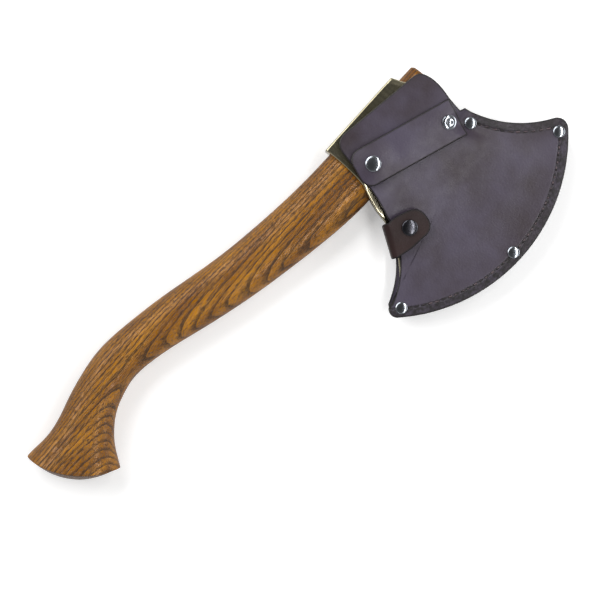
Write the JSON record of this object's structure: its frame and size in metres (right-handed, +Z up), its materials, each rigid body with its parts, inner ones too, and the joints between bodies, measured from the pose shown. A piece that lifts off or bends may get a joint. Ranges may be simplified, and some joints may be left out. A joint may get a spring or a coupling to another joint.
{
  "type": "hatchet in a leather sheath",
  "caption": "Forged hatchet with a broad bearded blade, curved wooden handle with a flared butt, and a riveted leather sheath with a snap belt strap and a snap keeper strap.",
  "frame": {"origin": "on the surface that the hatchet lies on, under the middle of its bounding box", "axes": "+X along the handle from the butt to the head, +Y towards the poll, +Z up, away from the surface it lies on"},
  "size_m": [0.4352, 0.1902, 0.0424],
  "materials": {
    "forged_steel": "ground and polished forged carbon steel",
    "wedge_steel": "plain drawn steel",
    "oiled_ash": "oiled ash with open dark grain",
    "panel_leather": "smooth dark brown vegetable-tanned leather, burnished edges",
    "welt_leather": "edge of a leather welt, burnished black",
    "keeper_leather": "dark red-brown leather",
    "waxed_thread": "dark waxed linen thread",
    "nickel": "nickel-plated brass",
    "blackened_nickel": "black nickel plate"
  },
  "bodies": {
    "hatchet": {"axe_head": "forged_steel", "handle": "oiled_ash", "eye_wedge": "oiled_ash", "cross_wedge": "wedge_steel"},
    "sheath": {"sheath_front_panel": "panel_leather", "sheath_back_panel": "panel_leather", "sheath_welt": "welt_leather", "rivet_neck_cap": "nickel", "rivet_neck_back": "nickel", "rivet_toe_cap": "nickel", "rivet_toe_back": "nickel", "rivet_middle_cap": "nickel", "rivet_middle_back": "nickel", "rivet_heel_cap": "nickel", "rivet_heel_back": "nickel", "thread_front_top": "waxed_thread", "thread_back_top": "waxed_thread", "thread_front_fore": "waxed_thread", "thread_back_fore": "waxed_thread", "thread_front_aft": "waxed_thread", "thread_back_aft": "waxed_thread", "belt_strap_root": "panel_leather", "belt_rivet_cap": "nickel", "belt_rivet_burr": "nickel", "belt_snap_post": "nickel", "belt_snap_stud": "nickel", "keeper_snap_post": "nickel", "keeper_snap_stud": "nickel", "keeper_strap_root": "keeper_leather", "keeper_rivet_cap": "nickel", "keeper_rivet_burr": "nickel", "keeper_strap_fold": "keeper_leather"},
    "belt_strap": {"belt_strap_flap": "panel_leather", "belt_snap_cap": "nickel", "belt_snap_socket": "nickel"},
    "keeper_strap": {"keeper_strap_flap": "keeper_leather", "keeper_snap_cap": "blackened_nickel", "keeper_snap_socket": "nickel"}
  },
  "joints": [
    {"name": "sheath_slide", "type": "slide", "parent": "hatchet", "child": "sheath", "axis": [0.788, -0.6157, 0], "range_m": [0, 0.17]},
    {"name": "belt_strap_bend", "type": "hinge", "parent": "sheath", "child": "belt_strap", "pos_m": [0.15267, 0.01146, 0.03664], "axis": [0.3508, 0.9282, 0.1238], "range_deg": [0, 120]},
    {"name": "keeper_strap_bend", "type": "hinge", "parent": "sheath", "child": "keeper_strap", "pos_m": [0.06993, -0.01503, 0.01887], "axis": [-0.5591, -0.8291, 0], "range_deg": [0, 165], "deforming": ["keeper_strap_fold"]}
  ]
}
